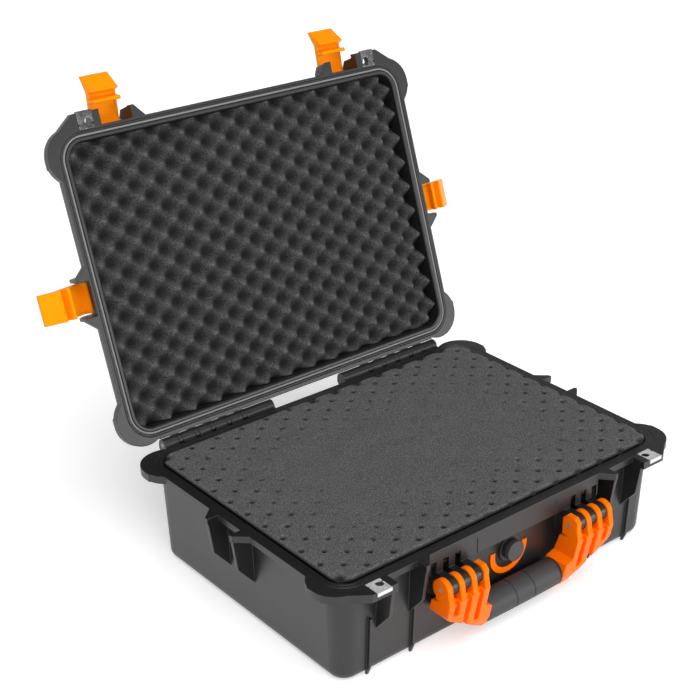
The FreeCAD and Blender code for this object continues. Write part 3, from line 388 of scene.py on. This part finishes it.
foam_rings = ((FOAM_SKIN_TUCK, foam_high.z - FOAM_SKIN), (FOAM_TUCK, foam_high.z - FOAM_WAIST),
              (FOAM_TUCK + FOAM_SIDE_TAPER, foam_low.z + FOAM_FOOT),
              (FOAM_TUCK + FOAM_FOOT_TUCK, foam_low.z + FOAM_LIFT))
base_foam = slab("base_foam_cut",
                 sheet_grid(foam_half_x, foam_half_y, FOAM_CORNER, FOAM_STEP, dimpled),
                 [inward(foam_half_x, foam_half_y, tuck, z) for tuck, z in foam_rings])
base_foam_finish, cut_colour = cut_foam("base_foam_finish", FOAM_DARK, FOAM_LIGHT, CELL_SCALE,
                                        CELL_DEPTH)
# The colour darkens with depth below the top face: painted shade in the dimples and down the sides.
depth_below = foam_high.z - base_foam_finish.along(Vector((0, 0, 1)))
painted_depth_shade = base_foam_finish.ramp(depth_below * (1 / PAINTED_SHADE_REACH), (0.05, grey(0.0)),
                               (0.55, grey(1.0)))
base_foam_finish.feed("Base Color",
                      base_foam_finish.mix(painted_depth_shade, cut_colour, grey(FOAM_PAINTED_SHADE)))
base_foam.data.materials.append(base_foam_finish.material)
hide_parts("base_foam_top")
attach(base_foam, "base")


# Core and floor layers of the base foam
# Two plain slabs of the same foam under the top layer, narrower downward like the walls. The core
# has a bay at the front for the nut of the pressure valve.
WALL_SLOPE = math.tan(math.radians(2.2))
NUT_BAY_HALF = 0.0135
NUT_BAY_MOUTH = 0.021
NUT_BAY_END = -0.1415
LAYER_STEP = 0.004
LAYER_ROLL = 0.002
LAYER_SLOPE = 0.5
CORE_FOOT = 0.0015
FLOOR_FOOT = 0.0080
FOOT_STEPS = 4
plain_foam, plain_colour = cut_foam("plain_foam_finish", FOAM_DARK, FOAM_LIGHT, CELL_SCALE,
                                    CELL_DEPTH)
plain_foam.feed("Base Color", plain_colour)


def foam_layer(name, node, bay, foot_round):
    """A slab with softly rolled edges in the place of a CAD node."""
    low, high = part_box(node)
    half_x = high.x - FOAM_FIT
    half_y = high.y - FOAM_FIT
    tall = high.z - low.z

    def face(x, y):
        curl = max(0.0, LAYER_ROLL - edge_gap(x, y, half_x, half_y, FOAM_CORNER))
        return high.z - FOAM_LIFT - curl * LAYER_SLOPE

    grid = sheet_grid(half_x, half_y, FOAM_CORNER, LAYER_STEP, face)
    if bay:
        for line in grid:
            share = min(1.0, max(0.0, (NUT_BAY_MOUTH - abs(line[0].x))
                                 / (NUT_BAY_MOUTH - NUT_BAY_HALF)))
            for point in line:
                outward = (half_y - point.y) / (2 * half_y)
                point.y += share * outward * (NUT_BAY_END + half_y)
    sides = [inward(half_x, half_y, WALL_SLOPE * (tall - foot_round), low.z + foot_round)]
    for number in range(1, FOOT_STEPS + 1):
        angle = number / FOOT_STEPS * math.pi / 2
        tuck = WALL_SLOPE * tall + foot_round * (1 - math.cos(angle))
        sides.append(inward(half_x, half_y, tuck,
                            low.z + FOAM_LIFT + foot_round * (1 - math.sin(angle))))
    layer = slab(name, grid, sides)
    layer.data.materials.append(plain_foam.material)
    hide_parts(node)
    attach(layer, "base")


foam_layer("core_foam_slab", "base_foam_core", True, CORE_FOOT)
foam_layer("floor_foam_slab", "base_foam_floor", False, FLOOR_FOOT)


# Lid foam
# Convoluted foam, cut in an egg-crate relief with narrow peaks, and glued into the lid. Its pits
# are darkened with depth, a painted shade; short fibres and grit give it a coarse speckle.
LID_ANGLE = math.radians(109.1)
HINGE_Y = 0.181
RIM_Z = 0.120
LID_RIM_Z = 0.1203
LID_INSIDE_TALL = 0.0380
LID_ROOF_Z = LID_RIM_Z + LID_INSIDE_TALL
to_open = (Matrix.Translation((0, HINGE_Y, RIM_Z)) @ Matrix.Rotation(-LID_ANGLE, 4, "X")
           @ Matrix.Translation((0, -HINGE_Y, -RIM_Z)))
CRATE_FIT = 0.0003
CRATE_LONGER = 0.0655
CRATE_CORNER = 0.0192
CRATE_STEP = 0.0017
CRATE_PITCH_X = 0.0341
CRATE_PITCH_Y = 0.0302
CRATE_START_X = 0.00677
CRATE_START_Y = -0.0066
CRATE_SKEW = 0.02
SQUEEZE_START = 0.194
SQUEEZE = 0.0060
PEAK_DEPTH = 0.0061
PIT_DEPTH = 0.0220
PEAK_POWER = 0.68
PEAK_SHARE = 0.75
CRATE_RINGS = ((0.0010, 0.0085), (0.0050, 0.0030), (0.0100, 0.0))
CRATE_DARK = 0.014
CRATE_LIGHT = 0.168
# Painted shade: the colour deep in the pits.
CRATE_PIT_SHADE = 0.009
CRATE_CELLS = 540.0
CRATE_CELL_DEPTH = 0.0008
PIT_SHADE_DEPTH = 0.025
crate_half_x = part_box("lid_foam")[1].x - CRATE_FIT
crate_half_y = crate_half_x - CRATE_LONGER


def egg_crate(x, y):
    """Height of the foam's face with the lid closed: narrow peaks, round pits.

    The sheet is cut a little wide, so its last row of peaks on the right is squeezed together.
    """
    late = min(1.0, max(0.0, (x - SQUEEZE_START) / (crate_half_x - SQUEEZE_START)))
    squeezed = x + SQUEEZE * late * late * (3 - 2 * late)
    along = 2 * math.pi * (squeezed - CRATE_START_X) / CRATE_PITCH_X
    across = 2 * math.pi * (y - CRATE_SKEW * x - CRATE_START_Y) / CRATE_PITCH_Y
    share = 0.5 - 0.5 * math.cos(along) * math.cos(across)
    share = PEAK_SHARE * share ** PEAK_POWER + (1 - PEAK_SHARE) * share
    return LID_RIM_Z + PEAK_DEPTH + (PIT_DEPTH - PEAK_DEPTH) * share


lid_foam = slab("lid_foam_crate",
                sheet_grid(crate_half_x, crate_half_y, CRATE_CORNER, CRATE_STEP, egg_crate),
                [inward(crate_half_x, crate_half_y, tuck, LID_ROOF_Z - below)
                 for tuck, below in CRATE_RINGS])
lid_foam.data.transform(to_open)
lid_foam_finish, lid_colour = cut_foam("lid_foam_finish", CRATE_DARK, CRATE_LIGHT, CRATE_CELLS,
                                       CRATE_CELL_DEPTH)
out_of_lid = to_open.to_3x3() @ Vector((0, 0, -1))
hinge_level = out_of_lid.dot(Vector((0, HINGE_Y, RIM_Z)))
# The colour darkens with depth below the rim: painted shade in the pits.
sunk = hinge_level - lid_foam_finish.along(out_of_lid) - (LID_RIM_Z - RIM_Z)
painted_pit_shade = lid_foam_finish.ramp(sunk * (1 / PIT_SHADE_DEPTH), (0.25, grey(0.0)), (0.50, grey(0.38)),
                           (0.86, grey(0.92)))
lid_foam_finish.feed("Base Color", lid_foam_finish.mix(painted_pit_shade, lid_colour, grey(CRATE_PIT_SHADE)))
lid_foam.data.materials.append(lid_foam_finish.material)
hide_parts("lid_foam")
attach(lid_foam, "lid")


# Lid gasket
# An extruded strip of soft grey foam rubber with a rounded crest, pressed into the groove of the
# lid's rim all the way round.
GASKET_INSET = 0.00495
GASKET_HALF = 0.00120
GASKET_TALL = 0.00190
GASKET_CREST = 0.00012
GASKET_ROUND = 0.0011
MOUTH_X = 0.225
MOUTH_Y = 0.1595
MOUTH_CORNER = 0.021
CORNER_STEPS = 16
ROUND_STEPS = 8
GASKET_DARK = 0.15
GASKET_LIGHT = 0.27
GASKET_SKIN_SCALE = 700.0
GASKET_SKIN_DEPTH = 0.00008


def rounded_loop(half_x, half_y, corner):
    """Points and outward directions round a rounded rectangle."""
    loop = []
    for quarter, (side_x, side_y) in enumerate(((1, 1), (-1, 1), (-1, -1), (1, -1))):
        centre = Vector((side_x * (half_x - corner), side_y * (half_y - corner), 0))
        for number in range(CORNER_STEPS + 1):
            angle = (quarter + number / CORNER_STEPS) * math.pi / 2
            out = Vector((math.cos(angle), math.sin(angle), 0))
            loop.append((centre + out * corner, out))
    return loop


def swept(name, sections):
    """A closed ring of equal sections, each joined to the next and the last to the first."""
    count = len(sections[0])
    faces = []
    for place in range(len(sections)):
        here = place * count
        onward = (place + 1) % len(sections) * count
        for number in range(count):
            after = (number + 1) % count
            faces.append((here + number, here + after, onward + after, onward + number))
    return solid(name, [point for section in sections for point in section], faces)


gasket_section = [(-GASKET_HALF, GASKET_TALL)]
for number in range(ROUND_STEPS + 1):
    angle = math.pi * number / ROUND_STEPS
    gasket_section.append((-GASKET_HALF * math.cos(angle),
                           GASKET_CREST + GASKET_ROUND * (1 - math.sin(angle))))
gasket_section.append((GASKET_HALF, GASKET_TALL))
gasket = swept("lid_gasket_strip",
               [[spot + out * aside + Vector((0, 0, LID_RIM_Z + rise))
                 for aside, rise in gasket_section]
                for spot, out in rounded_loop(MOUTH_X + GASKET_INSET, MOUTH_Y + GASKET_INSET,
                                              MOUTH_CORNER + GASKET_INSET)])
gasket.data.transform(to_open)
gasket_finish = Finish("gasket_finish", IOR=1.45)
gasket_skin = gasket_finish.noise(GASKET_SKIN_SCALE, detail=3.0, roughness=0.6)
gasket_finish.feed("Base Color",
                   gasket_finish.mix(gasket_skin, grey(GASKET_DARK), grey(GASKET_LIGHT)))
gasket_finish.feed("Roughness", 0.55 + gasket_skin * 0.2)
gasket_finish.feed("Normal", gasket_finish.bump(gasket_skin, GASKET_SKIN_DEPTH))
gasket.data.materials.append(gasket_finish.material)
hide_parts("lid_gasket")
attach(gasket, "lid")


# Latches, handle frame and the band round the valve
# Injection-moulded in bright orange nylon with rounded edges and a satin skin. The latches snap
# on steel pins in the lid, the handle frame on two pins in the base; the band is stuck on the wall.
ORANGE_TINT = (1.0, 0.5, 0.1, 1.0)
ORANGE_EDGE = 0.0022
STREAK_SCALE = 25.0
SKIN_SCALE = 1100.0
SKIN_DEPTH = 0.00003
# Latches, handle frame and band are one orange nylon. The latches get a yellower copy of it, a
# painted light, and the handle frame and band a redder copy, a painted shade.
LATCH_LIT_DEEP = (1.0, 0.260, 0.001, 1.0)
LATCH_LIT_PALE = (1.0, 0.345, 0.003, 1.0)
HANDLE_SHADED_DEEP = (1.0, 0.125, 0.0, 1.0)
HANDLE_SHADED_PALE = (1.0, 0.200, 0.0, 1.0)


def satin_orange(name, deep, light):
    """Orange with faint flow streaks and a fine skin; the highlights stay orange."""
    finish = Finish(name, IOR=1.45, Specular_IOR_Level=0.25, Specular_Tint=ORANGE_TINT)
    streaks = finish.noise(STREAK_SCALE, detail=3.0, roughness=0.5)
    skin = finish.noise(SKIN_SCALE, detail=2.0, roughness=0.5)
    finish.feed("Base Color", finish.mix(streaks * 0.7 + skin * 0.3, deep, light))
    finish.feed("Roughness", 0.28 + streaks * 0.10 + skin * 0.06)
    finish.feed("Normal", finish.bump(skin, SKIN_DEPTH, under=finish.soft_edge(ORANGE_EDGE)))
    return finish


# Yellower copy for the latches as painted light, redder copy for the handle frame and band as
# painted shade.
dress(satin_orange("latch_orange_painted_light", LATCH_LIT_DEEP, LATCH_LIT_PALE), "latch_front_left",
      "latch_front_right", "latch_side_left", "latch_side_right")
dress(satin_orange("handle_orange_painted_shade", HANDLE_SHADED_DEEP, HANDLE_SHADED_PALE), "handle_frame", "valve_arc")


# Pins
# Drawn steel rod, cut to length and pressed in. Those of the lid are dull; the handle's are given
# a paler, less metallic copy of the steel, a painted highlight on their cut ends.
DRAWN_SCALE = 500.0
DRAWN_DEPTH = 0.00003


def drawn_steel(name, dark, light, dull, metal):
    """Rod with fine marks from the die in its colour and its gloss."""
    finish = Finish(name, Metallic=metal)
    drawn = finish.noise(DRAWN_SCALE, detail=2.0, roughness=0.5)
    finish.feed("Base Color", finish.mix(drawn, grey(dark), grey(light)))
    finish.feed("Roughness", dull + drawn * 0.2)
    finish.feed("Normal", finish.bump(drawn, DRAWN_DEPTH))
    return finish


dress(drawn_steel("pin_steel", dark=0.16, light=0.36, dull=0.30, metal=1.0),
      "hinge_pin_left", "hinge_pin_right", "latch_pin_front_left", "latch_pin_front_right",
      "latch_pin_side_left", "latch_pin_side_right")
# Paler, half-metallic copy of the steel for the handle pins: a painted highlight.
dress(drawn_steel("handle_pin_steel_painted_highlight", dark=0.42, light=0.66, dull=0.35, metal=0.7),
      "handle_pin_left", "handle_pin_right")


# Padlock plates
# Stamped stainless steel, bent over the padlock lugs of the base and let into those of the lid,
# polished, with scuffs from the stamping.
WIPE_SCALE = 60.0
STAMP_SCALE = 420.0
STAMP_DEPTH = 0.00005


def polished(name, dark, light, metal, edge):
    """Stamped sheet: wiped patches and scuffs in its colour and its gloss."""
    finish = Finish(name, Metallic=metal)
    wipe = finish.noise(WIPE_SCALE, detail=2.0, roughness=0.5)
    scuffs = finish.noise(STAMP_SCALE, detail=4.0, roughness=0.7)
    finish.feed("Base Color", finish.ramp(wipe * 0.55 + scuffs * 0.45, (0.38, grey(dark)),
                                          (0.60, grey(light))))
    finish.feed("Roughness", 0.12 + scuffs * 0.22)
    finish.feed("Normal", finish.bump(scuffs, STAMP_DEPTH, under=finish.soft_edge(edge)))
    return finish


# One steel in two copies: the base's plates get a pale, half-metallic colour, a painted bright
# reflection, and the lid's a dark colour, a painted dark reflection.
dress(polished("base_plate_steel_painted_reflection", dark=0.66, light=0.90, metal=0.45, edge=0.0004),
      "lock_plate_left", "lock_plate_right")
dress(polished("lid_plate_steel_painted_dark_reflection", dark=0.10, light=0.30, metal=1.0, edge=0.0010),
      "lid_plate_left", "lid_plate_right")


# Handle grip
# A soft rubber sleeve on the bar of the handle frame, slightly crowned, with two seams where its
# moulds met, and a dark ring of hard plastic at each end.
GRIP_Y = -0.1742
GRIP_Z = 0.026
GRIP_RADIUS = 0.01597
GRIP_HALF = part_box("handle_grip")[1].x
GRIP_BORE = 0.00805
GRIP_CROWN = 0.0005
GRIP_ROLL = 0.0012
GRIP_STEPS = 240
GRIP_SIDES = 72
SEAM_PLACE = 0.013
SEAM_DEPTH = 0.0009
SEAM_WIDTH = 0.00055
SEAM_DARK = 0.003
SEAM_DARK_REACH = 0.001


def turned(name, outline, sides):
    """A ring turned about the X axis from a closed outline of (along, radius) points."""
    sections = []
    for side in range(sides):
        angle = 2 * math.pi * side / sides
        sections.append([Vector((along, radius * math.cos(angle), radius * math.sin(angle)))
                         for along, radius in outline])
    return swept(name, sections)


def grip_radius(along):
    """Crowned, rolled over at the ends, with a narrow seam on each side of the middle."""
    crown = GRIP_CROWN * (along / GRIP_HALF) ** 2
    seam = SEAM_DEPTH * math.exp(-((abs(along) - SEAM_PLACE) / SEAM_WIDTH) ** 2)
    end = max(0.0, abs(along) - (GRIP_HALF - GRIP_ROLL)) / GRIP_ROLL
    return GRIP_RADIUS - crown - seam - GRIP_ROLL * (1 - math.sqrt(max(0.0, 1 - end ** 2)))


grip_places = [GRIP_HALF * (2 * number / GRIP_STEPS - 1) for number in range(GRIP_STEPS + 1)]
grip_outline = [(place, grip_radius(place)) for place in grip_places]
grip_outline += [(GRIP_HALF, GRIP_BORE), (-GRIP_HALF, GRIP_BORE)]
grip = turned("handle_grip_sleeve", grip_outline, GRIP_SIDES)
grip.data.transform(Matrix.Translation((0, GRIP_Y, GRIP_Z)))
grip_rubber = moulded("grip_rubber", dark=0.018, light=0.044, gloss=0.46, edge=0.0005)
grip_along = grip_rubber.along(Vector((1, 0, 0)))
# The colour darkens along the two seams.
seam_near = grip_rubber.sum("ABSOLUTE", grip_rubber.sum("ABSOLUTE", grip_along) - SEAM_PLACE)
seam_darkening = grip_rubber.ramp(seam_near * (1 / SEAM_DARK_REACH), (0.45, grey(1.0)),
                             (1.0, grey(0.0)))
grip_rubber.feed("Base Color",
                 grip_rubber.mix(seam_darkening, grip_rubber.fed["Base Color"], grey(SEAM_DARK)))
grip.data.materials.append(grip_rubber.material)
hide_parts("handle_grip")
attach(grip, "handle")
dress(moulded("collar_plastic", dark=0.010, light=0.022, gloss=0.42, edge=0.0004),
      "handle_collar_left", "handle_collar_right")


# Pressure valve
# A moulded black body held by a nut inside the wall, with a round screw knob in front, whose
# plastic is a little paler and duller.
dress(moulded("valve_plastic", dark=0.006, light=0.014, gloss=0.36, edge=0.0006),
      "valve_body", "valve_nut")
dress(moulded("knob_plastic", dark=0.020, light=0.052, gloss=0.40, edge=0.0007), "valve_knob")


# Valve seal
# A flat ring of soft black rubber with a rounded edge, squeezed between knob and body.
SEAL_INNER = 0.0050
SEAL_SIDES = 64
seal_low, seal_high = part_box("valve_seal")
seal_half = (seal_high.y - seal_low.y) / 2
seal_outline = [(-seal_half, SEAL_INNER)]
for number in range(ROUND_STEPS + 1):
    angle = math.pi * (number / ROUND_STEPS - 0.5)
    seal_outline.append((seal_half * math.sin(angle),
                         seal_high.x - seal_half * (1 - math.cos(angle))))
seal_outline.append((seal_half, SEAL_INNER))
seal = turned("valve_seal_ring", seal_outline, SEAL_SIDES)
seal.data.transform(Matrix.Translation((0, (seal_low.y + seal_high.y) / 2,
                                        (seal_low.z + seal_high.z) / 2))
                    @ Matrix.Rotation(math.pi / 2, 4, "Z"))
seal_rubber = moulded("seal_rubber", dark=0.006, light=0.014, gloss=0.50, edge=0.0003)
seal.data.materials.append(seal_rubber.material)
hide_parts("valve_seal")
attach(seal, "valve_seal")


# Studio
# A white paper floor that runs out to the horizon, a wide diffused ceiling light, and softboxes at
# the front right, the front left and the left. The sky is white along the horizon and dim above it.
PAPER_HALF = 6.0
PAPER_DROP = 0.0002
PAPER_WHITE = (0.86, 0.86, 0.86, 1.0)
PAPER_LIFT = 0.42
SKY_WHITE = (0.22, grey(1.0))
SKY_DIM = (0.40, grey(0.10))
floor_mesh = bpy.data.meshes.new("studio_floor")
floor_mesh.from_pydata([(-PAPER_HALF, -PAPER_HALF, 0), (PAPER_HALF, -PAPER_HALF, 0),
                        (PAPER_HALF, PAPER_HALF, 0), (-PAPER_HALF, PAPER_HALF, 0)],
                       [], [(0, 1, 2, 3)])
floor = bpy.data.objects.new("studio_floor", floor_mesh)
scene.collection.objects.link(floor)
floor.location.z = -PAPER_DROP
paper = Finish("studio_paper", Roughness=0.9, Base_Color=PAPER_WHITE, Emission_Strength=1.0,
               Specular_IOR_Level=0.0)
seen = [paper.node("ShaderNodeLightPath", output=name)
        for name in ("Is Camera Ray", "Is Glossy Ray", "Is Transmission Ray")]
lift = (seen[0] + seen[1] + seen[2]) * PAPER_LIFT
paper.feed("Emission Color", paper.node("ShaderNodeCombineColor", None,
                                        {"Red": lift, "Green": lift, "Blue": lift}))
floor_mesh.materials.append(paper.material)

world = bpy.data.worlds.new("studio")
scene.world = world
sky = Network(world)
heading = sky.node("ShaderNodeTexCoord", output="Generated")
upward = sky.node("ShaderNodeSeparateXYZ", None, {"Vector": heading}, "Z")
backdrop = sky.tree.nodes["Background"]
backdrop.inputs["Strength"].default_value = 1.0
sky.tree.links.new(sky.ramp(upward, SKY_WHITE, SKY_DIM).socket, backdrop.inputs["Color"])


def softbox(name, place, aim, size, watts):
    """A rectangular lamp that faces a point."""
    data = bpy.data.lights.new(name, "AREA")
    data.shape = "RECTANGLE"
    data.size, data.size_y = size
    data.energy = watts
    made = bpy.data.objects.new(name, data)
    scene.collection.objects.link(made)
    made.location = place
    made.rotation_euler = (Vector(aim) - Vector(place)).to_track_quat("-Z", "Y").to_euler()


softbox("front_softbox", place=(1.0, -1.8, 0.36), aim=(0, 0.2, 0.35), size=(1.5, 0.5), watts=15)
softbox("left_softbox", place=(-1.9, 0.5, 0.5), aim=(0, 0, 0.1), size=(1.2, 0.6), watts=4)
softbox("fill_softbox", place=(-1.2, -2.4, 1.3), aim=(0, 0, 0.2), size=(1.4, 1.0), watts=20)
CEILING_STRENGTH = 2.1
CEILING_SPREAD = math.radians(60)
CEILING_TILT = (math.radians(22), math.radians(-8), 0)
ceiling = bpy.data.objects.new("ceiling_light", bpy.data.lights.new("ceiling_light", "SUN"))
ceiling.data.energy = CEILING_STRENGTH
ceiling.data.angle = CEILING_SPREAD
ceiling.rotation_euler = CEILING_TILT
scene.collection.objects.link(ceiling)
